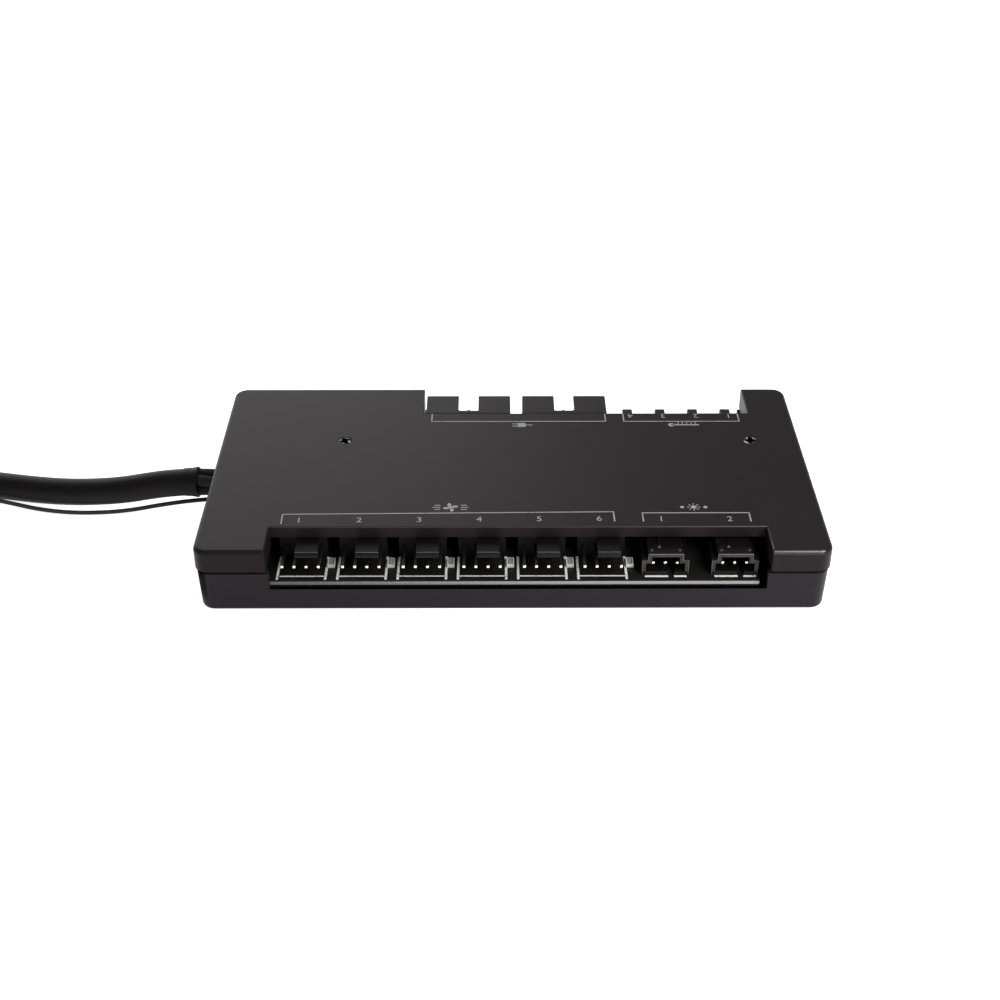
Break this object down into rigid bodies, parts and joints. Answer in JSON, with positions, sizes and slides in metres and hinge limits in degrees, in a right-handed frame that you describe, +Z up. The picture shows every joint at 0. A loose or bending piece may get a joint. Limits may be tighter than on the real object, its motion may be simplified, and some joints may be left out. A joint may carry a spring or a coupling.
{
  "type": "rgb lighting controller",
  "caption": "Flat black controller box with fan and light sockets in an open front bay, data and sensor sockets in a rear bay and a power lead at its left end.",
  "frame": {"origin": "middle of the case's underside", "axes": "+X to the right along the case, +Y to the rear with the data sockets, +Z up out of the cover"},
  "size_m": [0.2886, 0.0925, 0.0155],
  "materials": {
    "cover_plastic": "fine matte grain",
    "tray_plastic": "fine matte grain",
    "screw_steel": "black oxide",
    "board_laminate": "black solder mask",
    "socket_plastic": "satin",
    "pin_metal": "bright tin plate",
    "fuse_ceramic": "glazed",
    "chip_resin": "moulded",
    "can_metal": "drawn",
    "wire_skin": "smooth",
    "sleeve": "shrunk sleeve",
    "tie_nylon": "satin",
    "plug_plastic": "satin",
    "contact_metal": "plated"
  },
  "bodies": {
    "root": {"top_cover": "cover_plastic", "base_tray": "tray_plastic", "cover_screws": "screw_steel", "main_board": "board_laminate", "fan_header_1": "socket_plastic", "fan_header_2": "socket_plastic", "fan_header_3": "socket_plastic", "fan_header_4": "socket_plastic", "fan_header_5": "socket_plastic", "fan_header_6": "socket_plastic", "led_header_1": "socket_plastic", "led_header_2": "socket_plastic", "data_header_1": "socket_plastic", "data_header_2": "socket_plastic", "temp_header_1": "socket_plastic", "temp_header_2": "socket_plastic", "temp_header_3": "socket_plastic", "temp_header_4": "socket_plastic", "fan_pins_1": "pin_metal", "fan_pins_2": "pin_metal", "fan_pins_3": "pin_metal", "fan_pins_4": "pin_metal", "fan_pins_5": "pin_metal", "fan_pins_6": "pin_metal", "led_pins_1": "pin_metal", "led_pins_2": "pin_metal", "data_pins_1": "pin_metal", "data_pins_2": "pin_metal", "temp_pins_1": "pin_metal", "temp_pins_2": "pin_metal", "temp_pins_3": "pin_metal", "temp_pins_4": "pin_metal", "channel_fuses": "fuse_ceramic", "control_chip": "chip_resin", "data_hub_chip": "chip_resin", "fan_drivers": "chip_resin", "light_driver": "chip_resin", "power_coil": "chip_resin", "clock_crystal": "can_metal", "buffer_cans": "can_metal", "lead_bundle": "wire_skin", "lead_wires": "wire_skin", "stray_wire": "wire_skin", "power_lead": "sleeve", "power_lead_coil": "sleeve", "power_lead_tail": "sleeve", "lead_stop_tie": "tie_nylon", "coil_strap": "tie_nylon", "lead_clip": "tie_nylon", "power_plug": "plug_plastic", "plug_contacts": "contact_metal"}
  },
  "joints": []
}
